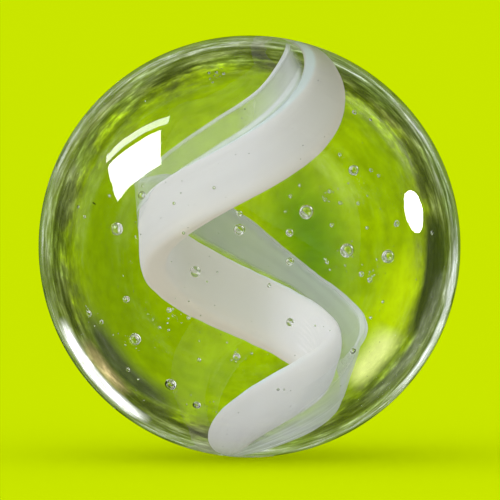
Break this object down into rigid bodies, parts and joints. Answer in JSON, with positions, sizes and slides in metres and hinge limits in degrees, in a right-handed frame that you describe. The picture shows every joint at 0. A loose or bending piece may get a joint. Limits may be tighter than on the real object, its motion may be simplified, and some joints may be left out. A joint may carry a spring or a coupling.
{
  "type": "glass marble",
  "caption": "Clear glass marble with a white glass ribbon wound through it from pole to pole, a thin milky veil along the ribbon and small air bubbles.",
  "frame": {"origin": "centre of the ball", "axes": "+Z along the ribbon's axis, with the wider coils up; -Y faces the viewer of the picture, +X to their right"},
  "size_m": [0.016, 0.016, 0.016],
  "materials": {
    "clear_glass": "fire-polished colourless glass with fine scratches and seed bubbles",
    "white_glass": "opaque white glass with faint flow lines",
    "milky_glass": "thin translucent milky glass"
  },
  "bodies": {
    "root": {"clear_ball": "clear_glass", "white_ribbon": "white_glass", "milky_veil": "milky_glass"}
  },
  "joints": []
}
